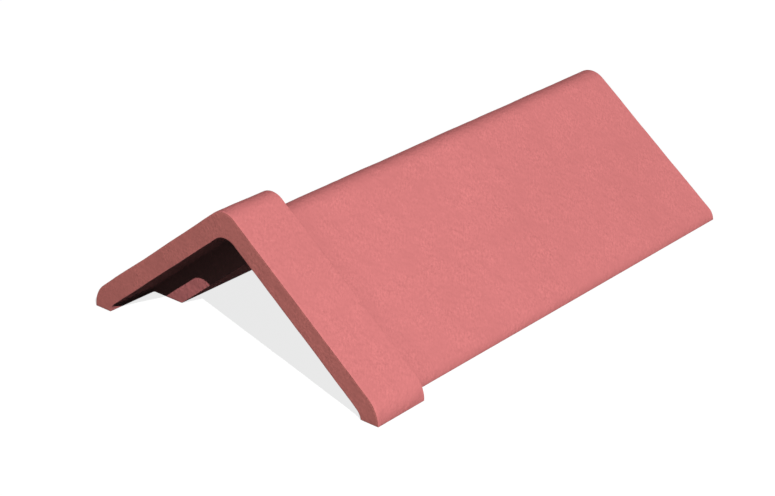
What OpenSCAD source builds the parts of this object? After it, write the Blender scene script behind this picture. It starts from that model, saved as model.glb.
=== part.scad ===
// Clay ridge tile: an inverted V of fired clay that covers the ridge of a roof. One end is plain. The other
// carries a raised collar with a socket under it, which laps over the plain end of the next tile.
// X runs along the ridge from the collar's face to the plain end, Y across, and the feet stand on z = 0.

/* [Body] */
// Overall length along the ridge, from the collar's face to the plain end
tile_length = 450; // [300:5:600]
// Slope of both legs below the horizontal, in degrees
pitch = 38; // [28:0.5:48]
// Width of the body across its feet
body_width = 262; // [220:1:320]
// Thickness of the body's legs, measured square to the slope
body_wall = 25.5; // [18:0.5:32]
// Radius that turns the outer face upright at each foot
foot_radius = 12; // [6:0.5:16]
// Radius over the ridge of the body
ridge_radius = 18; // [8:0.5:30]
// Radius in the angle under the ridge of the body
hollow_radius = 15; // [6:0.5:24]

/* [Collar] */
// Length of the collar along the ridge
collar_length = 50; // [30:1:90]
// Height of the collar above the body's outer face, square to the slope
collar_rise = 13.5; // [8:0.5:20]
// Radius over the ridge of the collar
collar_ridge_radius = 16.5; // [8:0.5:30]

/* [Socket] */
// Depth of the socket's roof below the body's outer face, square to the slope
socket_sink = 3; // [1:0.5:8]
// Clay between the socket's shoulder and the collar's back, along the ridge
shoulder_web = 4; // [2:0.5:12]
// Radius in the angle under the ridge of the socket
socket_radius = 15; // [6:0.5:24]

/* [Hidden] */
$fn = 96;
clay = [0.85, 0.5, 0.49];

// Distance that cutters run past the faces they open
over = 1;
// Depth by which the legs lie under the crown of the rounds they run into, so that the two cross cleanly
tuck = 0.01;
// Smallest radius at which a foot is still turned upright; below it the leg runs straight to the floor
least_foot = 1;
// Collar's face and plain end along X, with the origin at mid length
collar_face = -tile_length / 2;
plain_end = tile_length / 2;
// Shoulder at the bottom of the socket, where the body's own wall begins
shoulder = collar_face + collar_length - shoulder_web;
// Distance from the middle to the centre that all foot radii share
foot_centre = body_width / 2 - foot_radius;

// Area from the floor up to the face that lies `out` outside the body's outer face (inside it when negative):
// two straight legs, a ridge of radius `ridge`, and feet that turn upright where their radius allows it
module arch(out, ridge) {
    foot = foot_radius + out;
    turned = foot > least_foot;
    apex = foot_centre * tan(pitch) + foot / cos(pitch);
    ridge_centre = apex - ridge / cos(pitch);
    ridge_y = (ridge - tuck) * sin(pitch);
    ridge_z = ridge_centre + (ridge - tuck) * cos(pitch);
    leg_y = foot_centre + (foot - tuck) * (turned ? sin(pitch) : 1 / sin(pitch));
    leg_z = turned ? (foot - tuck) * cos(pitch) : 0;
    floor_y = min(foot_centre, leg_y);
    polygon([
        [-floor_y, 0], [-leg_y, leg_z], [-ridge_y, ridge_z],
        [ridge_y, ridge_z], [leg_y, leg_z], [floor_y, 0]
    ]);
    translate([0, ridge_centre]) circle(ridge);
    if (turned)
        for (side = [-1, 1])
            translate([side * foot_centre, 0]) half_disc(foot);
}

// Upper half of a disc, its flat side on the floor
module half_disc(radius) {
    intersection() {
        circle(radius);
        translate([-radius - over, 0]) square([2 * (radius + over), radius + over]);
    }
}

// Length of a drawn section, carried along X between two stations
module along(from, to) {
    translate([from, 0, 0])
        rotate([90, 0, 90])
            linear_extrude(to - from)
                children();
}

module ridge_tile() {
    color(clay)
        difference() {
            union() {
                along(collar_face, collar_face + collar_length) arch(collar_rise, collar_ridge_radius);
                along(collar_face, plain_end) arch(0, ridge_radius);
            }
            along(collar_face - over, plain_end + over) arch(-body_wall, hollow_radius);
            along(collar_face - over, shoulder) arch(-socket_sink, socket_radius);
        }
}

ridge_tile();
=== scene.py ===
"""Fired-clay looks for a collared ridge tile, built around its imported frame.

The tile is one closed surface. The wall's contour, drawn in the plane of the tile's length and of the
distance from the body's outer face, is carried along the arch of the section from the left foot over the
ridge to the right foot, so the collar, the socket, the shoulder and both ends come out of one sweep with
softened arrises. A shallow relief and a procedural clay finish then give it the skin of a pressed and
fired tile. All lengths are in metres.
"""

from __future__ import annotations

import logging
import math
from collections.abc import Iterable
from dataclasses import dataclass, field
from enum import Enum

import bpy
import numpy as np
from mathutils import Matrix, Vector
from numpy.typing import NDArray

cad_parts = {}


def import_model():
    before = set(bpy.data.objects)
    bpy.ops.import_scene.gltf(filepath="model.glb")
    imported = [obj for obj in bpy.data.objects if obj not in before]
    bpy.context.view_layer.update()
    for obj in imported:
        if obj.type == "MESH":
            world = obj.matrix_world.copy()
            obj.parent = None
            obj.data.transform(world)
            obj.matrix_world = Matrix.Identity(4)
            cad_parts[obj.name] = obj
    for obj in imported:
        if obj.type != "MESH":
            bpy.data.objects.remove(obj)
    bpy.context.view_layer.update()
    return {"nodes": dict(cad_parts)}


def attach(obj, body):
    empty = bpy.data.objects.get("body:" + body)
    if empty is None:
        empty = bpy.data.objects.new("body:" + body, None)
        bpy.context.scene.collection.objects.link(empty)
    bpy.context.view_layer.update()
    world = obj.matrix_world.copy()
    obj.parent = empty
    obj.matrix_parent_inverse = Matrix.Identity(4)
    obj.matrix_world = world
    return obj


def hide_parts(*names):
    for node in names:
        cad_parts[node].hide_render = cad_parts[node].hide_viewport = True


Array = NDArray[np.float64]
Colour = tuple[float, float, float]
Triple = tuple[float, float, float]
Span = tuple[float, float]
Socket = bpy.types.NodeSocket
Feed = Socket | float | Colour
log = logging.getLogger("ridge_tile")

WHITE: Colour = (1.0, 1.0, 1.0)

# Driving sizes of the tile, with the names that the part's source gives them.
TILE_LENGTH = 0.450
PITCH = math.radians(38.0)
BODY_WIDTH = 0.262
BODY_WALL = 0.0255
FOOT_RADIUS = 0.012
RIDGE_RADIUS = 0.018
HOLLOW_RADIUS = 0.015
COLLAR_LENGTH = 0.050
COLLAR_RISE = 0.0135
COLLAR_RIDGE_RADIUS = 0.0165
SOCKET_SINK = 0.003
SHOULDER_WEB = 0.004
SOCKET_RADIUS = 0.015

# Least divisor, and decimals to which a step between corners is rounded before its direction is read.
SMALLEST = 1e-12
DECIMALS = 9

# Most values of a cloudy noise lie in these ranges.
CLOUD_NARROW: Span = (0.35, 0.65)
CLOUD_MIDDLE: Span = (0.3, 0.7)
CLOUD_WIDE: Span = (0.25, 0.75)


class Skin(Enum):
    """How a face of the clay was left before firing; the value is what the mesh stores for it."""

    PRESSED = 0.0
    CUT = 1.0


@dataclass(frozen=True)
class SheetPlace:
    """Where a face lies on the flat sheet that the finish is baked to, in metres on that sheet.

    Attributes:
        left: Its left edge.
        low: Its lower edge.
        scale: Its size on the sheet, against its real one.
        lying: Whether the tile's length runs across the sheet there, and not up it.
    """

    left: float
    low: float
    scale: float = 1.0
    lying: bool = False


@dataclass(frozen=True)
class WallSide:
    """One straight side of the wall's contour.

    Attributes:
        name: What the side is called on the tile.
        stations: How many grid points lie along it, between its rounded corners.
        skin: How its face was formed.
        sheet: Its place on the sheet.
    """

    name: str
    stations: int
    skin: Skin
    sheet: SheetPlace


WALL_SIDES = (
    WallSide("collar top", 30, Skin.PRESSED, SheetPlace(0.004, 0.352)),
    WallSide("collar back", 8, Skin.PRESSED, SheetPlace(0.004, 0.407)),
    WallSide("body top", 238, Skin.PRESSED, SheetPlace(0.004, 0.004, lying=True)),
    WallSide("plain end", 14, Skin.CUT, SheetPlace(0.004, 0.428)),
    WallSide("hollow", 128, Skin.PRESSED, SheetPlace(0.409, 0.004, scale=0.78)),
    WallSide("shoulder", 12, Skin.PRESSED, SheetPlace(0.004, 0.464)),
    WallSide("socket roof", 24, Skin.PRESSED, SheetPlace(0.004, 0.496)),
    WallSide("collar face", 10, Skin.CUT, SheetPlace(0.004, 0.547)),
)
FOOT_SHEETS = (SheetPlace(0.004, 0.572, scale=0.6), SheetPlace(0.290, 0.572, scale=0.6))
SHEET_WIDTH = 0.604


@dataclass(frozen=True)
class WaveField:
    """A smooth random height: the sum of plane waves in random directions, scaled to a given spread.

    Attributes:
        seed: Starting number of the random draw.
        shortest: Shortest wavelength.
        longest: Longest wavelength.
        spread: Root mean square of the height.
        waves: How many waves are added.
    """

    seed: int
    shortest: float
    longest: float
    spread: float
    waves: int = 56

    def height(self, points: Array) -> Array:
        """Work out the height at each point.

        The height is spread * sqrt(2 / waves) times the sum over the waves of
        sin(2 pi direction . point / wavelength + phase).

        Args:
            points: Points as rows of x, y, z.

        Returns:
            One height for each point.
        """
        draw = np.random.default_rng(self.seed)
        direction = draw.normal(size=(3, self.waves))
        direction /= np.linalg.norm(direction, axis=0)
        wavelength = np.exp(draw.uniform(math.log(self.shortest), math.log(self.longest), self.waves))
        phase = draw.uniform(0.0, 2.0 * math.pi, self.waves)
        angle = points @ (2.0 * math.pi * direction / wavelength) + phase
        return self.spread * math.sqrt(2.0 / self.waves) * np.sin(angle).sum(axis=1)


@dataclass(frozen=True)
class Grit:
    """Single pimples and pits that grit leaves in the pressed face.

    Attributes:
        seed: Starting number of the random draw.
        count: How many there are.
        radius: Least and greatest radius.
        lift: Lowest and highest height; a negative one is a pit.
    """

    seed: int
    count: int
    radius: Span
    lift: Span

    def height(self, points: Array) -> Array:
        """Work out the height that the grit adds at each point.

        Each grain adds lift * exp(-(distance / radius)^2), with the distance taken from a point that is
        picked at random.

        Args:
            points: Points as rows of x, y, z.

        Returns:
            One height for each point.
        """
        draw = np.random.default_rng(self.seed)
        centres = points[draw.choice(len(points), self.count, replace=False)]
        radius = draw.uniform(*self.radius, self.count)
        lift = draw.uniform(*self.lift, self.count)
        square = (points**2).sum(axis=1)[:, None] + (centres**2).sum(axis=1) - 2.0 * points @ centres.T
        return (lift * np.exp(-np.maximum(square, 0.0) / radius**2)).sum(axis=1)


@dataclass(frozen=True)
class ArchSection:
    """The tile's section: straight legs, a rounded ridge, and feet turned upright on arcs of one centre.

    A face is named by `out`, its distance outside the body's outer face, square to the slope.

    Attributes:
        pitch: Slope of the legs.
        foot_centre: Distance from the middle to the centre of the foot arcs.
        foot_radius: Foot radius of the body's outer face.
        ridge_outs: Faces at which the ridge radius is known, from the inside out.
        ridge_radii: Ridge radius at each of those faces.
        foot_zone: Length above the floor that is set aside for the foot.
        ridge_zone: Length below the ridge line that is set aside for the ridge.
    """

    pitch: float = PITCH
    foot_centre: float = BODY_WIDTH / 2.0 - FOOT_RADIUS
    foot_radius: float = FOOT_RADIUS
    ridge_outs: tuple[float, ...] = (-BODY_WALL, -SOCKET_SINK, 0.0, COLLAR_RISE)
    ridge_radii: tuple[float, ...] = (HOLLOW_RADIUS, SOCKET_RADIUS, RIDGE_RADIUS, COLLAR_RIDGE_RADIUS)
    foot_zone: float = 0.026
    ridge_zone: float = 0.015

    def half(
        self, out: Array, start: Array, foot: Array, leg: Array, ridge: Array
    ) -> tuple[Array, Array]:
        """Place points on the left half of the arch by their length along it, measured up from the floor.

        The length is start + (foot zone - start) * foot + (what lies between the zones) * leg
        + ridge zone * ridge. It runs up the foot arc, (centre + R cos a, R sin a), then up the straight leg,
        then over the ridge arc. Where the foot radius R is not above zero, the leg starts on the floor.

        Args:
            out: Face of each point.
            start: Length at the foot of the zones.
            foot: Share of the foot zone passed.
            leg: Share of the leg passed.
            ridge: Share of the ridge zone passed.

        Returns:
            The points' y and z.
        """
        sine, cosine = math.sin(self.pitch), math.cos(self.pitch)
        foot_r = self.foot_radius + out
        turned = np.maximum(foot_r, 0.0)
        ridge_r = np.interp(out, self.ridge_outs, self.ridge_radii)
        apex = self.foot_centre * math.tan(self.pitch) + foot_r / cosine
        foot_arc = turned * (math.pi / 2.0 - self.pitch)
        leg_y = self.foot_centre + np.where(foot_r > 0.0, foot_r * sine, foot_r / sine)
        leg_z = turned * cosine
        leg_length = (leg_y - ridge_r * sine) / cosine
        whole = foot_arc + leg_length + ridge_r * self.pitch
        between = whole - self.foot_zone - self.ridge_zone
        run = start + (self.foot_zone - start) * foot + between * leg + self.ridge_zone * ridge

        foot_angle = run / np.maximum(turned, SMALLEST)
        climb = run - foot_arc
        ridge_angle = math.pi / 2.0 - self.pitch + (climb - leg_length) / ridge_r
        on_foot = run < foot_arc
        on_ridge = climb > leg_length
        y = np.where(on_foot, self.foot_centre + turned * np.cos(foot_angle), leg_y - climb * cosine)
        z = np.where(on_foot, turned * np.sin(foot_angle), leg_z + climb * sine)
        y = np.where(on_ridge, ridge_r * np.cos(ridge_angle), y)
        z = np.where(on_ridge, apex - ridge_r / cosine + ridge_r * np.sin(ridge_angle), z)
        return y, z


@dataclass(frozen=True)
class WallContour:
    """The closed outline of the tile's wall, in the plane of its length and of the distance `out`.

    Attributes:
        collar_face: Place of the collar's face along the ridge.
        plain_end: Place of the plain end.
        collar_length: Length of the collar.
        collar_rise: Height of the collar above the body's outer face.
        socket_sink: Depth of the socket's roof below the body's outer face.
        shoulder_web: Clay between the shoulder and the collar's back.
        body_wall: Thickness of the body's legs.
        arris: Radius of the softened outer edges.
        sharpest: Least radius that a softened edge keeps where the foot cuts it.
        crease: Radius in the two inner corners.
        corner_points: Grid points around each corner.
        beside_arris: Wear at the grid points next to an arris, where the arris itself has one.
    """

    collar_face: float = -TILE_LENGTH / 2.0
    plain_end: float = TILE_LENGTH / 2.0
    collar_length: float = COLLAR_LENGTH
    collar_rise: float = COLLAR_RISE
    socket_sink: float = SOCKET_SINK
    shoulder_web: float = SHOULDER_WEB
    body_wall: float = BODY_WALL
    arris: float = 0.0005
    sharpest: float = 0.00006
    crease: float = 0.0012
    corner_points: int = 5
    beside_arris: float = 0.3

    def corners(self, inset: Array) -> Array:
        """Give the contour's corners, moved into the clay by an inset.

        Args:
            inset: Distance by which every side moves inwards.

        Returns:
            Corners in order, each with its place along the ridge and its `out`, for each inset.
        """
        back = self.collar_face + self.collar_length
        shoulder = back - self.shoulder_web
        sharp = np.array([
            (self.collar_face, self.collar_rise),
            (back, self.collar_rise),
            (back, 0.0),
            (self.plain_end, 0.0),
            (self.plain_end, -self.body_wall),
            (shoulder, -self.body_wall),
            (shoulder, -self.socket_sink),
            (self.collar_face, -self.socket_sink),
        ])
        inwards = np.array([(1, -1), (-1, -1), (-1, -1), (-1, -1), (-1, 1), (1, 1), (1, 1), (1, 1)])
        return sharp[:, :, None] + inwards[:, :, None] * inset

    def starts(self) -> list[int]:
        """Count the contour's points side by side.

        Returns:
            The number of each side's first point, which is that of its leading corner, and then the number
            of all points.
        """
        counts = [self.corner_points + side.stations for side in WALL_SIDES]
        return np.cumsum([0, *counts]).tolist()

    def outline(self, inset: Array) -> tuple[Array, Array, Array, Array]:
        """Draw the contour with rounded corners.

        With a and b the directions in and out of a corner P, its arc is
        P - r a + r b - r b cos t + r a sin t. Straight sides are divided evenly between the arcs.

        Args:
            inset: Distance by which every side moves inwards, one value for each place along the arch.

        Returns:
            Place along the ridge and `out`, each as a grid of contour points by insets, then the points'
            skin, and how close they are to an arris, from zero to one.
        """
        corners = self.corners(inset)
        heading = np.roll(corners, -1, axis=0) - corners
        heading = np.sign(heading.round(DECIMALS))
        arriving = np.roll(heading, 1, axis=0)
        turn = arriving[:, 0] * heading[:, 1] - arriving[:, 1] * heading[:, 0]
        radius = np.where(turn < 0, np.maximum(self.arris - inset, self.sharpest), self.crease + inset)
        quarter = np.linspace(0.0, math.pi / 2.0, self.corner_points)[:, None, None]
        arrises = np.where(turn[:, 0] < 0, 1.0, 0.0)
        pieces = []
        skins = []
        worn = []
        for number, side in enumerate(WALL_SIDES):
            before = WALL_SIDES[number - 1]
            after = (number + 1) % len(WALL_SIDES)
            a, b, r = arriving[number], heading[number], radius[number]
            arc = corners[number] - r * a + r * b - r * b * np.cos(quarter) + r * a * np.sin(quarter)
            begin = corners[number] + r * b
            end = corners[after] - radius[after] * b
            share = np.linspace(0.0, 1.0, side.stations + 2)[1:-1, None, None]
            pieces += [arc, begin + (end - begin) * share]
            skins += [
                np.linspace(before.skin.value, side.skin.value, self.corner_points),
                np.full(side.stations, side.skin.value),
            ]
            beside = np.zeros(side.stations)
            beside[[0, -1]] = self.beside_arris * arrises[[number, after]]
            worn += [np.full(self.corner_points, arrises[number]), beside]
        grid = np.concatenate(pieces)
        return grid[:, 0], grid[:, 1], np.concatenate(skins), np.concatenate(worn)


@dataclass(frozen=True)
class Spots:
    """Small round spots that lie scattered in the clay.

    Attributes:
        size: Distance between the places that may hold a spot.
        reach: Radius of a spot, as a part of that distance.
        share: Part of the places that hold one.
        tone: Colour in its middle.
        shade: How much of that colour it shows.
        lift: Height of its middle, against the grain's; a negative one is a pit.
    """

    size: float
    reach: float
    share: float
    tone: Colour
    shade: float
    lift: float


@dataclass(frozen=True)
class ClayFinish:
    """Matt, sand-faced fired clay: a warm tone that drifts slowly, a leathery grain, sand and small pits.

    Attributes:
        tone: Colour of the pressed face.
        deep_tone: Colour where the firing went deeper.
        cut_tone_and_painted_light: Colour of the cut faces, where the clay's own body shows; it is also
        paler than the pressed face, as painted light on the end faces.
        collar_shade_start: Place along the ridge where the painted shade behind the collar begins.
        collar_shade_length: Length over which the painted shade behind the collar fades out.
        collar_shade_depth: How much darker the painted shade makes the tone right behind the collar.
        foot_shade_height: Height over which the painted shade at the feet fades out.
        foot_shade_depth: How much darker the painted shade makes the tone on the pressed faces at the floor.
        rub: How much paler the arrises are, where handling has rubbed them.
        rub_size: Size of the stretches that are rubbed or left.
        drift_size: Size of the slow changes of tone.
        mottle_size: Size of the soft blotches.
        mottle_depth: How far the blotches change the tone.
        patch: Least and greatest strength of the grain and the flecks, from blotch to blotch.
        swell_size: Size of the low swells in the skin.
        swell_lift: Height of the swells, against the grain's.
        pebble_size: Size of the pebbled grain.
        pebble_lift: Height of the pebbled grain, against the grain's.
        grain_size: Size of the fine grain.
        fleck_size: Size of the flecks of colour.
        fleck_way: Direction in which the flecks are drawn out, as the near leg was wiped.
        fleck_length: How many times longer than wide the flecks are.
        fleck_depth: How far the flecks change the tone.
        cut_fleck: How many times further they do on the cut faces.
        pits: Pits in the skin.
        sand: Grains of sand.
        roughness: Roughness of the surface.
        roughness_spread: How far the grain changes the roughness.
        gloss: Strength of the reflection on the surface.
        relief: Depth of the grain.
        cut_relief: Part of that depth on the cut faces.
    """

    tone: Colour = (0.728, 0.222, 0.221)
    deep_tone: Colour = (0.695, 0.211, 0.209)
    # The cut faces show the clay's own body, and their paler tone is also painted light on the end faces.
    cut_tone_and_painted_light: Colour = (0.772, 0.238, 0.213)
    # Painted shade behind the collar, where the collar shades the body.
    collar_shade_start: float = COLLAR_LENGTH - TILE_LENGTH / 2.0
    collar_shade_length: float = 0.034
    collar_shade_depth: float = 0.085
    # Painted shade at the feet: darker near the floor.
    foot_shade_height: float = 0.012
    foot_shade_depth: float = 0.11
    rub: float = 0.05
    rub_size: float = 0.011
    drift_size: float = 0.12
    mottle_size: float = 0.018
    mottle_depth: float = 0.025
    patch: Span = (0.25, 1.75)
    swell_size: float = 0.0085
    swell_lift: float = 1.6
    pebble_size: float = 0.0036
    pebble_lift: float = 0.8
    grain_size: float = 0.0022
    fleck_size: float = 0.0014
    fleck_way: Triple = (0.707, 0.557, 0.436)
    fleck_length: float = 2.2
    fleck_depth: float = 0.088
    cut_fleck: float = 1.4
    pits: Spots = Spots(
        size=0.011, reach=0.14, share=0.22, tone=(0.50, 0.155, 0.14), shade=0.14, lift=-0.25
    )
    sand: Spots = Spots(
        size=0.0052, reach=0.16, share=0.45, tone=(0.80, 0.30, 0.29), shade=0.32, lift=0.25
    )
    roughness: float = 0.88
    roughness_spread: float = 0.06
    gloss: float = 0.015
    relief: float = 0.00028
    cut_relief: float = 0.45

    def material(self, name: str) -> bpy.types.Material:
        """Build the clay's material.

        Args:
            name: Name of the new material.

        Returns:
            The material, its pattern laid out in the tile's own frame.
        """
        made = bpy.data.materials.new(name)
        made.use_nodes = True
        made.diffuse_color = (*self.tone, 1.0)
        nodes = ShaderNodes(made.node_tree)
        place = nodes.add("ShaderNodeTexCoord").outputs["Object"]
        cut = nodes.add("ShaderNodeAttribute", attribute_name=RidgeTile.SKIN_LAYER).outputs["Fac"]

        drift = nodes.noise(place, self.drift_size, detail=2.0, roughness=0.5)
        mottle = nodes.noise(place, self.mottle_size, detail=2.0, roughness=0.5)
        swell = nodes.noise(place, self.swell_size, detail=1.0, roughness=0.5, warp=0.3)
        pebble = nodes.pebbles(place, self.pebble_size)
        grain = nodes.noise(place, self.grain_size, detail=2.0, roughness=0.5, warp=0.2)
        wiped = nodes.drawn_out(place, self.fleck_way, self.fleck_length)
        fleck = nodes.noise(wiped, self.fleck_size, detail=2.0, roughness=0.6)
        pit = nodes.spots(place, self.pits)
        sand = nodes.spots(place, self.sand)

        fired = nodes.blend(nodes.stretch(drift, *CLOUD_MIDDLE), self.tone, self.deep_tone)
        # The cut faces take their own tone, which is paler as painted light on the end faces.
        body = nodes.blend(cut, fired, self.cut_tone_and_painted_light)
        pitted = nodes.blend(nodes.scale(pit, self.pits.shade), body, self.pits.tone)
        sanded = nodes.blend(nodes.scale(sand, self.sand.shade), pitted, self.sand.tone)
        blotch = nodes.stretch(mottle, *CLOUD_WIDE, 1.0 - self.mottle_depth, 1.0 + self.mottle_depth)
        patch = nodes.stretch(mottle, *CLOUD_MIDDLE, *self.patch)
        spread = nodes.stretch(fleck, *CLOUD_WIDE, -self.fleck_depth, self.fleck_depth)
        coarse = nodes.math("MULTIPLY", spread, nodes.stretch(cut, 0.0, 1.0, 1.0, self.cut_fleck))
        patchy = nodes.math("ADD", blotch, nodes.math("MULTIPLY", coarse, patch))
        shade = nodes.add("ShaderNodeHueSaturation")
        nodes.link(sanded, shade.inputs["Color"])
        # The tone factor carries the painted shade behind the collar and at the feet, and the paler arrises.
        nodes.link(nodes.math("MULTIPLY", patchy, self.depth(nodes, place, cut)), shade.inputs["Value"])

        patchy_grain = nodes.math("MULTIPLY", grain, patch)
        swells = nodes.scale(swell, self.swell_lift)
        lumps = nodes.math("ADD", swells, nodes.scale(pebble, self.pebble_lift))
        lumpy = nodes.math("ADD", patchy_grain, lumps)
        gritty = nodes.math("ADD", lumpy, nodes.scale(sand, self.sand.lift))
        pressed = nodes.math("ADD", gritty, nodes.scale(pit, self.pits.lift))
        height = nodes.math("MULTIPLY", pressed, nodes.stretch(cut, 0.0, 1.0, 1.0, self.cut_relief))
        bump = nodes.add("ShaderNodeBump")
        bump.inputs["Strength"].default_value = 1.0
        bump.inputs["Distance"].default_value = self.relief
        nodes.link(height, bump.inputs["Height"])

        shader = nodes.add("ShaderNodeBsdfPrincipled")
        shader.inputs["Specular IOR Level"].default_value = self.gloss
        nodes.link(shade.outputs["Color"], shader.inputs["Base Color"])
        smoother = self.roughness - self.roughness_spread
        rougher = self.roughness + self.roughness_spread
        nodes.link(nodes.stretch(grain, *CLOUD_WIDE, smoother, rougher), shader.inputs["Roughness"])
        nodes.link(bump.outputs["Normal"], shader.inputs["Normal"])
        nodes.output("ShaderNodeOutputMaterial", shader.outputs["BSDF"])
        return made

    def depth(self, nodes: ShaderNodes, place: Socket, cut: Socket) -> Socket:
        """Deepen the tone behind the collar and on the pressed faces at the feet, and pale the arrises.

        The painted shade behind the collar fades out along the ridge, and the painted shade at the feet
        with height. The arrises are paler in broken stretches.

        Args:
            nodes: The material's nodes.
            place: Coordinates in the tile's frame.
            cut: One on the cut faces and zero on the pressed ones.

        Returns:
            A factor for the tone, which holds the painted shade and the paler arrises.
        """
        split = nodes.add("ShaderNodeSeparateXYZ")
        nodes.link(place, split.inputs["Vector"])
        along = split.outputs["X"]
        # Painted shade behind the collar: darker right behind it, fading out along the ridge.
        collar_shade_end = self.collar_shade_start + self.collar_shade_length
        fading = nodes.stretch(along, self.collar_shade_start, collar_shade_end, self.collar_shade_depth, 0.0)
        painted_collar_shade = nodes.math("MULTIPLY", fading, nodes.math("GREATER_THAN", along, self.collar_shade_start))
        # Painted shade at the feet: darker on the pressed faces near the floor, fading out with height.
        foot = nodes.stretch(split.outputs["Z"], 0.0, self.foot_shade_height, self.foot_shade_depth, 0.0)
        deeper = nodes.math("ADD", painted_collar_shade, nodes.math("MULTIPLY", foot, nodes.math("SUBTRACT", 1.0, cut)))
        worn = nodes.add("ShaderNodeAttribute", attribute_name=RidgeTile.ARRIS_LAYER).outputs["Fac"]
        handled = nodes.noise(place, self.rub_size, detail=2.0, roughness=0.5)
        broken = nodes.stretch(handled, *CLOUD_NARROW, 0.0, self.rub)
        rubbed = nodes.math("MULTIPLY", worn, broken)
        return nodes.math("ADD", nodes.math("SUBTRACT", 1.0, deeper), rubbed)


class ShaderNodes:
    """A node tree with short ways to add and join its nodes.

    A mix node holds the sockets of numbers, vectors and colours one after the other, so those of its
    colours are found by their numbers.
    """

    MIX_SHARE = 0
    MIX_FIRST = 6
    MIX_SECOND = 7
    MIX_RESULT = 2
    PEBBLE_SMOOTHNESS = 0.7
    SPOT_CORE = 0.4

    def __init__(self, tree: bpy.types.NodeTree) -> None:
        """Take over a tree and empty it.

        Args:
            tree: The tree.
        """
        self.tree = tree
        self.tree.nodes.clear()

    def add(self, kind: str, **settings: object) -> bpy.types.Node:
        """Add a node.

        Args:
            kind: The node's type.
            settings: Properties to set on it.

        Returns:
            The new node.
        """
        node = self.tree.nodes.new(kind)
        for key, value in settings.items():
            setattr(node, key, value)
        return node

    def link(self, source: Feed, target: Socket) -> None:
        """Feed a socket from another socket, or set it to a number or a colour.

        Args:
            source: The other socket, the number or the colour.
            target: The socket to feed.
        """
        if isinstance(source, Socket):
            self.tree.links.new(source, target)
        elif isinstance(source, tuple):
            target.default_value = (*source, 1.0)
        else:
            target.default_value = source

    def math(self, operation: str, first: Feed, second: Feed) -> Socket:
        """Join two numbers by an operation.

        Args:
            operation: What is done with them.
            first: The first number, or a socket that gives it.
            second: The second number, or a socket that gives it.

        Returns:
            The result.
        """
        node = self.add("ShaderNodeMath", operation=operation)
        self.link(first, node.inputs[0])
        self.link(second, node.inputs[1])
        return node.outputs["Value"]

    def scale(self, number: Socket, factor: float) -> Socket:
        """Multiply a number.

        Args:
            number: The number.
            factor: The factor.

        Returns:
            The product.
        """
        return self.math("MULTIPLY", number, factor)

    def stretch(
        self, number: Socket, low: float, high: float, to_low: float = 0.0, to_high: float = 1.0
    ) -> Socket:
        """Map a range of numbers to another, clamped at its ends.

        Args:
            number: The number to map.
            low: Lower end of its range.
            high: Upper end of its range.
            to_low: What the lower end becomes.
            to_high: What the upper end becomes.

        Returns:
            The mapped number.
        """
        node = self.add("ShaderNodeMapRange", clamp=True)
        for target, value in zip(node.inputs, (number, low, high, to_low, to_high)):
            self.link(value, target)
        return node.outputs["Result"]

    def blend(self, share: Socket, first: Feed, second: Feed) -> Socket:
        """Mix two colours by a share.

        Args:
            share: How much of the second colour there is.
            first: The first colour, or a socket that gives it.
            second: The second colour, or a socket that gives it.

        Returns:
            The mixed colour.
        """
        node = self.add("ShaderNodeMix", data_type="RGBA")
        self.link(share, node.inputs[self.MIX_SHARE])
        self.link(first, node.inputs[self.MIX_FIRST])
        self.link(second, node.inputs[self.MIX_SECOND])
        return node.outputs[self.MIX_RESULT]

    def noise(
        self, place: Socket, size: float, detail: float, roughness: float, warp: float = 0.0
    ) -> Socket:
        """Add a cloudy noise.

        Args:
            place: Coordinates to read it at.
            size: Length over which it changes.
            detail: Number of finer layers.
            roughness: Strength of each finer layer.
            warp: How far the clouds are drawn out into curls.

        Returns:
            The noise, about 0.5 on average.
        """
        node = self.add("ShaderNodeTexNoise")
        self.link(place, node.inputs["Vector"])
        self.link(1.0 / size, node.inputs["Scale"])
        self.link(detail, node.inputs["Detail"])
        self.link(roughness, node.inputs["Roughness"])
        self.link(warp, node.inputs["Distortion"])
        return node.outputs["Fac"]

    def drawn_out(self, place: Socket, way: Triple, factor: float) -> Socket:
        """Give coordinates on which a pattern comes out longer in one direction.

        Args:
            place: Coordinates to start from.
            way: The direction.
            factor: How many times longer.

        Returns:
            The new coordinates.
        """
        node = self.add("ShaderNodeMapping", vector_type="TEXTURE")
        self.link(place, node.inputs["Vector"])
        node.inputs["Rotation"].default_value = Vector(way).to_track_quat("X", "Z").to_euler()
        node.inputs["Scale"].default_value = (factor, 1.0, 1.0)
        return node.outputs["Vector"]

    def pebbles(self, place: Socket, size: float) -> Socket:
        """Add rounded lumps that lie side by side.

        Args:
            place: Coordinates to read them at.
            size: Distance between lumps.

        Returns:
            The lumps' height, highest in their middles.
        """
        cells = self.add("ShaderNodeTexVoronoi", feature="SMOOTH_F1")
        self.link(place, cells.inputs["Vector"])
        self.link(1.0 / size, cells.inputs["Scale"])
        self.link(self.PEBBLE_SMOOTHNESS, cells.inputs["Smoothness"])
        return self.math("SUBTRACT", 1.0, cells.outputs["Distance"])

    def spots(self, place: Socket, kind: Spots) -> Socket:
        """Add scattered round spots: a share of the cells of a pattern each hold one.

        Args:
            place: Coordinates to read them at.
            kind: What the spots are like.

        Returns:
            One in the middle of a spot, falling to zero at its edge.
        """
        cells = self.add("ShaderNodeTexVoronoi")
        self.link(place, cells.inputs["Vector"])
        self.link(1.0 / kind.size, cells.inputs["Scale"])
        draw = self.add("ShaderNodeSeparateColor")
        self.link(cells.outputs["Color"], draw.inputs["Color"])
        held = self.math("LESS_THAN", draw.outputs["Red"], kind.share)
        core = kind.reach * self.SPOT_CORE
        near = self.stretch(cells.outputs["Distance"], core, kind.reach, 1.0, 0.0)
        return self.math("MULTIPLY", held, near)

    def output(self, kind: str, surface: Socket) -> None:
        """Add the output node and feed it.

        Args:
            kind: The node's type.
            surface: The shader that it shows.
        """
        self.link(surface, self.add(kind).inputs["Surface"])


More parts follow.
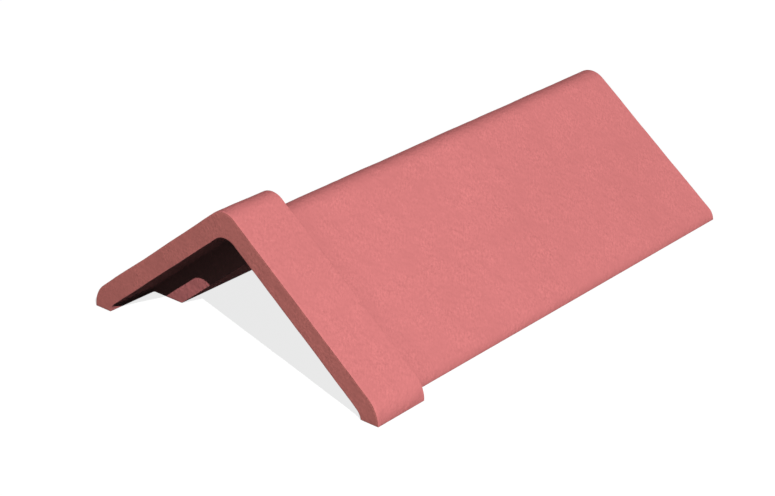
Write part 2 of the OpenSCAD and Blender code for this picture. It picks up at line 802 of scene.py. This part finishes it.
@dataclass
class RidgeTile:
    """The tile itself: section, wall contour, relief and finish.

    Attributes:
        section: The arch that the contour is carried along.
        wall: The contour of the wall.
        finish: The clay.
        sway: Slow unevenness of the faces.
        ripple: Short unevenness of the faces.
        grit: Pimples and pits.
        foot_points: Grid points in each foot zone.
        leg_points: Grid points along each leg.
        ridge_points: Grid points in each half of the ridge zone.
        calm: Height over which the relief fades in above the floor.
    """

    SKIN_LAYER = "cut_skin"
    ARRIS_LAYER = "worn_arris"
    SHEET_LAYER = "OFBake"
    NODE = "ridge_tile"
    PIECE = "ridge_tile_clay"
    SLOT = "fired_clay"

    section: ArchSection = field(default_factory=ArchSection)
    wall: WallContour = field(default_factory=WallContour)
    finish: ClayFinish = field(default_factory=ClayFinish)
    sway: WaveField = WaveField(seed=11, shortest=0.045, longest=0.16, spread=0.00012)
    ripple: WaveField = WaveField(seed=23, shortest=0.009, longest=0.024, spread=0.000035)
    grit: Grit = Grit(seed=5, count=150, radius=(0.0018, 0.0034), lift=(-0.00022, 0.00022))
    foot_points: int = 12
    leg_points: int = 66
    ridge_points: int = 9
    calm: float = 0.005

    def lengthwise(self) -> tuple[Array, Array, Array, Array, Array]:
        """Give the places along half the arch, from the floor to the ridge line.

        The first rows round the foot's arris: their inset is r (1 - sin t) and their length
        r (1 - cos t).

        Returns:
            Inset, length at the foot of the zones, and shares of the foot, leg and ridge zones, for each
            row.
        """
        radius = self.wall.arris
        turn = np.linspace(0.0, math.pi / 2.0, self.wall.corner_points)
        counts = (self.foot_points, self.leg_points, self.ridge_points)
        rows = np.arange(1, sum(counts) + 1)
        inset = np.concatenate([radius * (1.0 - np.sin(turn)), np.zeros(len(rows))])
        start = np.concatenate([radius * (1.0 - np.cos(turn)), np.full(len(rows), radius)])
        shares = []
        passed = 0
        for count in counts:
            share = np.clip((rows - passed) / count, 0.0, 1.0)
            shares.append(np.concatenate([np.zeros(len(turn)), share]))
            passed += count
        return inset, start, shares[0], shares[1], shares[2]

    def grid(self) -> tuple[Array, Array, Array]:
        """Carry the wall's contour over the whole arch.

        Returns:
            Points as a grid of contour points by places along the arch, then the contour points' skin and
            wear.
        """
        inset, start, foot, leg, ridge = self.lengthwise()
        x, out, skin, worn = self.wall.outline(inset)
        y, z = self.section.half(out, start, foot, leg, ridge)
        left = np.stack([x, y, z], axis=-1)
        right = left[:, -2::-1] * (1.0, -1.0, 1.0)
        return np.concatenate([left, right], axis=1), skin, worn

    def roughened(self, grid: Array) -> Array:
        """Add the relief along the surface's normal, faded out at the floor so that the feet stand flat.

        The normal is the cross product of the grid's two central differences.

        Args:
            grid: Points of the smooth surface.

        Returns:
            Points of the uneven surface.
        """
        along = np.roll(grid, -1, axis=0) - np.roll(grid, 1, axis=0)
        across = np.gradient(grid, axis=1)
        normal = np.cross(across, along)
        normal /= np.maximum(np.linalg.norm(normal, axis=-1, keepdims=True), SMALLEST)
        points = grid.reshape(-1, 3)
        lift = self.sway.height(points) + self.ripple.height(points) + self.grit.height(points)
        fade = np.clip(points[:, 2] / self.calm, 0.0, 1.0)
        fade = fade**2 * (3.0 - 2.0 * fade)
        return grid + normal * (lift * fade).reshape(*grid.shape[:2], 1)

    def faces(self, rows: int, columns: int) -> list[list[int]]:
        """List the faces: four-sided ones, closed round the contour, and a flat one under each foot.

        Args:
            rows: Number of contour points.
            columns: Number of places along the arch.

        Returns:
            Each face's vertex numbers, turned outwards.
        """
        number = np.arange(rows * columns).reshape(rows, columns)
        ahead = np.roll(number, -1, axis=0)
        quads = np.stack([number[:, :-1], number[:, 1:], ahead[:, 1:], ahead[:, :-1]], axis=-1)
        left_foot = number[:, 0]
        right_foot = number[::-1, -1]
        return [*quads.reshape(-1, 4).tolist(), left_foot.tolist(), right_foot.tolist()]

    def sheet(self, grid: Array) -> Array:
        """Roll the faces out on the flat sheet, each side of the wall as one strip with the arch unbent.

        A point's place on its strip is the length along the contour, taken on the ridge line, and the
        length along the arch from the ridge line. The undersides of the feet lie on the sheet as they are.

        Args:
            grid: Points of the surface.

        Returns:
            The place of each face corner, as a share of the sheet, in the order of the faces.
        """
        closed = np.concatenate([grid, grid[:1]])
        middle = grid.shape[1] // 2
        steps = np.linalg.norm(np.diff(closed[:, middle], axis=0), axis=1)
        along = np.concatenate([[0.0], np.cumsum(steps)])[:, None]
        hops = np.linalg.norm(np.diff(closed, axis=1), axis=2)
        over = np.pad(np.cumsum(hops, axis=1), ((0, 0), (1, 0)))
        over -= over[:, middle, None]
        starts = self.wall.starts()
        strips = []
        for side, first, last in zip(WALL_SIDES, starts, starts[1:]):
            rows = slice(first, last + 1)
            length = along[rows] - along[first]
            half = np.abs(over[rows]).max()
            if side.sheet.lying:
                strip = np.stack(np.broadcast_arrays(length, half - over[rows]), axis=-1)
            else:
                strip = np.stack(np.broadcast_arrays(half + over[rows], length), axis=-1)
            strip = strip * side.sheet.scale + (side.sheet.left, side.sheet.low)
            corners = np.stack([strip[:-1, :-1], strip[:-1, 1:], strip[1:, 1:], strip[1:, :-1]], axis=2)
            strips.append(corners.reshape(-1, 2))
        for foot, sheet in zip((grid[:, 0], grid[::-1, -1]), FOOT_SHEETS):
            flat = np.stack([foot[:, 0] - foot[:, 0].min(), foot[:, 1].max() - foot[:, 1]], axis=-1)
            strips.append(flat * sheet.scale + (sheet.left, sheet.low))
        return np.concatenate(strips) / SHEET_WIDTH

    def build(self) -> bpy.types.Object:
        """Build the tile's mesh and put it in the scene.

        Returns:
            The tile, dressed in its clay and riding on the frame.
        """
        smooth, skin, worn = self.grid()
        grid = self.roughened(smooth)
        rows, columns = grid.shape[:2]
        mesh = bpy.data.meshes.new(self.PIECE)
        mesh.from_pydata(grid.reshape(-1, 3).tolist(), [], self.faces(rows, columns))
        shaded = np.ones(len(mesh.polygons), dtype=bool)
        shaded[-len(FOOT_SHEETS) :] = False
        mesh.polygons.foreach_set("use_smooth", shaded)
        for name, values in ((self.SKIN_LAYER, skin), (self.ARRIS_LAYER, worn)):
            layer = mesh.attributes.new(name, "FLOAT", "POINT")
            layer.data.foreach_set("value", np.repeat(values, columns).astype(np.float32))
        sheet = mesh.uv_layers.new(name=self.SHEET_LAYER)
        sheet.uv.foreach_set("vector", self.sheet(smooth).astype(np.float32).ravel())
        mesh.update()
        tile = bpy.data.objects.new(self.PIECE, mesh)
        bpy.context.scene.collection.objects.link(tile)
        mesh.materials.append(self.finish.material("fired_clay_finish"))
        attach(tile, "root")
        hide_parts(self.NODE)
        return tile


@dataclass(frozen=True)
class StudioLamp:
    """A round lamp, or a lying strip lamp, aimed at the tile.

    Attributes:
        name: What the lamp is called.
        towards: Direction from the tile to the lamp.
        distance: Distance of the lamp.
        level: Light on a face turned to it, where 1 shows a colour as it is written.
        size: Width of a round lamp, or height of a strip lamp.
        aim: Point that it is aimed at.
        length: Length of a strip lamp; a round lamp has none.
    """

    name: str
    towards: Triple
    distance: float
    level: float
    size: float
    aim: Triple = (0.0, 0.0, 0.05)
    length: float = 0.0

    def build(self) -> bpy.types.Object:
        """Make the lamp; its power is level * pi^2 * distance^2.

        Returns:
            The lamp.
        """
        lamp = bpy.data.lights.new(self.name, "AREA")
        lamp.shape = "RECTANGLE" if self.length else "DISK"
        lamp.size = self.length or self.size
        lamp.size_y = self.size
        lamp.energy = self.level * math.pi**2 * self.distance**2
        made = bpy.data.objects.new(self.name, lamp)
        direction = Vector(self.towards).normalized()
        made.location = Vector(self.aim) + direction * self.distance
        made.rotation_euler = direction.to_track_quat("Z", "Y").to_euler()
        bpy.context.scene.collection.objects.link(made)
        return made


# The key lamp is small, so that the collar's mouth throws a clear edge of light on the shoulder in the
# socket. The near fill is broad and low and lifts the near foot. The far fill lies on the floor behind the
# tile, so that it lights the far leg and the plain end and hardly touches the ridge.
STUDIO_LAMPS = (
    StudioLamp(
        "key_lamp",
        towards=(-0.4052, -0.6542, 0.6388),
        distance=6.6,
        level=0.932,
        size=0.02,
        aim=(-0.179, 0.09, 0.02),
    ),
    StudioLamp("near_fill", towards=(0.30, -0.94, 0.12), distance=5.0, level=0.175, size=1.25),
    StudioLamp(
        "far_fill",
        towards=(0.35, 0.93, -0.04),
        distance=0.68,
        level=0.42,
        size=0.03,
        aim=(0.22, 0.0, 0.05),
        length=0.9,
    ),
)


@dataclass(frozen=True)
class Studio:
    """A pale floor under a quiet sky, with a set of lamps.

    Attributes:
        lamps: The lamps.
        sky: Light on the tile from above the horizon.
        ground: Light on the tile from below the horizon, which reaches the roof of the socket.
        mouth_side: Light on the tile from the side of the collar's mouth, which reaches the shoulder.
        mouth_side_edge: How far a direction points along the ridge where that light has faded out.
        bounces: How often one matt face lights another; none, since the photograph shows no such light.
        floor_width: Width of the floor.
        floor_glow: Light that the floor shows by itself near the tile.
        floor_white: Distances from the tile between which that light grows to full white.
        floor_seen: How much of the falling light is seen on the floor, which carries the shadow.
    """

    lamps: tuple[StudioLamp, ...] = STUDIO_LAMPS
    sky: Colour = (0.010, 0.010, 0.010)
    ground: Colour = (0.006, 0.014, 0.013)
    mouth_side: Colour = (0.055, 0.084, 0.082)
    mouth_side_edge: float = -0.4
    bounces: int = 0
    floor_width: float = 14.0
    floor_glow: float = 0.81
    floor_white: Span = (0.45, 1.8)
    floor_seen: float = 0.34

    @staticmethod
    def seen(nodes: ShaderNodes) -> Socket:
        """Tell what the camera sees, straight or by way of gloss or glass, from what lights a matt face.

        Args:
            nodes: Nodes of the world.

        Returns:
            One for what the camera sees, and else zero.
        """
        path = nodes.add("ShaderNodeLightPath")
        glossy = nodes.math("MAXIMUM", path.outputs["Is Glossy Ray"], path.outputs["Is Transmission Ray"])
        return nodes.math("MAXIMUM", path.outputs["Is Camera Ray"], glossy)

    def light_sky(self) -> None:
        """Set the world: white to the camera; to the tile a quiet sky, a cool ground and a cool side."""
        world = bpy.data.worlds.new("studio_sky")
        world.use_nodes = True
        nodes = ShaderNodes(world.node_tree)
        split = nodes.add("ShaderNodeSeparateXYZ")
        nodes.link(nodes.add("ShaderNodeTexCoord").outputs["Generated"], split.inputs["Vector"])
        above = nodes.math("GREATER_THAN", split.outputs["Z"], 0.0)
        soft = nodes.add("ShaderNodeBackground")
        ahead = nodes.stretch(split.outputs["X"], -1.0, self.mouth_side_edge, 1.0, 0.0)
        around = nodes.blend(above, self.ground, self.sky)
        nodes.link(nodes.blend(ahead, around, self.mouth_side), soft.inputs["Color"])
        white = nodes.add("ShaderNodeBackground")
        nodes.link(WHITE, white.inputs["Color"])
        mix = nodes.add("ShaderNodeMixShader")
        nodes.link(self.seen(nodes), mix.inputs[0])
        nodes.link(soft.outputs["Background"], mix.inputs[1])
        nodes.link(white.outputs["Background"], mix.inputs[2])
        nodes.output("ShaderNodeOutputWorld", mix.outputs["Shader"])
        bpy.context.scene.world = world

    def floor_material(self) -> bpy.types.Material:
        """Make the floor's finish: a pale glow with the shadow kept, which is no lamp to the tile.

        Returns:
            The material.
        """
        made = bpy.data.materials.new("studio_floor_finish")
        made.use_nodes = True
        nodes = ShaderNodes(made.node_tree)
        shown = nodes.add("ShaderNodeBsdfDiffuse")
        nodes.link((self.floor_seen,) * 3, shown.inputs["Color"])
        glow = nodes.add("ShaderNodeEmission")
        nodes.link(WHITE, glow.inputs["Color"])
        reach = nodes.add("ShaderNodeVectorMath", operation="LENGTH")
        nodes.link(nodes.add("ShaderNodeTexCoord").outputs["Object"], reach.inputs[0])
        growing = nodes.stretch(reach.outputs["Value"], *self.floor_white, self.floor_glow, 1.0)
        nodes.link(growing, glow.inputs["Strength"])
        pale = nodes.add("ShaderNodeAddShader")
        nodes.link(shown.outputs["BSDF"], pale.inputs[0])
        nodes.link(glow.outputs["Emission"], pale.inputs[1])
        nodes.output("ShaderNodeOutputMaterial", pale.outputs["Shader"])
        made.cycles.emission_sampling = "NONE"
        return made

    def lay_floor(self) -> bpy.types.Object:
        """Lay the floor, a square at the level of the feet, which lets the ground's light through.

        Returns:
            The floor.
        """
        half = self.floor_width / 2.0
        mesh = bpy.data.meshes.new("studio_floor")
        corners = np.array([(-1, -1, 0), (1, -1, 0), (1, 1, 0), (-1, 1, 0)]) * half
        mesh.from_pydata(corners.tolist(), [], [[0, 1, 2, 3]])
        mesh.materials.append(self.floor_material())
        floor = bpy.data.objects.new("studio_floor", mesh)
        floor.visible_diffuse = False
        floor.visible_shadow = False
        bpy.context.scene.collection.objects.link(floor)
        return floor

    def build(self) -> None:
        """Build the sky, the floor and the lamps."""
        bpy.context.scene.view_settings.view_transform = "Standard"
        bpy.context.scene.cycles.diffuse_bounces = self.bounces
        self.light_sky()
        log.info("floor: %s", self.lay_floor().name)
        for lamp in self.lamps:
            log.info("lamp: %s", lamp.build().name)


@dataclass(frozen=True)
class PhotoCamera:
    """The camera, placed where the photograph was taken from.

    Attributes:
        place: Where it stands.
        azimuth: Turn about the vertical, from looking along +Y.
        elevation: Height above the horizon from which it looks down.
        focal_pixels: Focal length in the photograph's pixels.
        photo_pixels: Width of the photograph in pixels.
        sensor_width: Width of the camera's sensor in millimetres.
    """

    place: Triple = (-1.1330, -0.93169, 0.6975)
    azimuth: float = math.radians(-49.38)
    elevation: float = math.radians(25.01)
    focal_pixels: float = 2006.23
    photo_pixels: int = 775
    sensor_width: float = 36.0

    def build(self) -> bpy.types.Object:
        """Make the camera and look through it.

        Returns:
            The camera.
        """
        lens = bpy.data.cameras.new("photo_camera")
        lens.sensor_fit = "HORIZONTAL"
        lens.sensor_width = self.sensor_width
        lens.lens = self.focal_pixels / self.photo_pixels * self.sensor_width
        camera = bpy.data.objects.new("photo_camera", lens)
        camera.location = self.place
        camera.rotation_euler = (math.pi / 2.0 - self.elevation, 0.0, self.azimuth)
        bpy.context.scene.collection.objects.link(camera)
        bpy.context.scene.camera = camera
        return camera


def main() -> None:
    """Load the frame, build the tile, the studio and the camera, and log what was made."""
    logging.basicConfig(level=logging.INFO, format="%(name)s %(message)s")
    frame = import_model()
    log.info("frame: %s", ", ".join(frame["nodes"]))
    tile = RidgeTile().build()
    log.info("tile: %s, %d faces", tile.name, len(tile.data.polygons))
    log.info("sides of its wall: %s", ", ".join(side.name for side in WALL_SIDES))
    Studio().build()
    log.info("camera: %s", PhotoCamera().build().name)


if __name__ == "__main__":
    main()
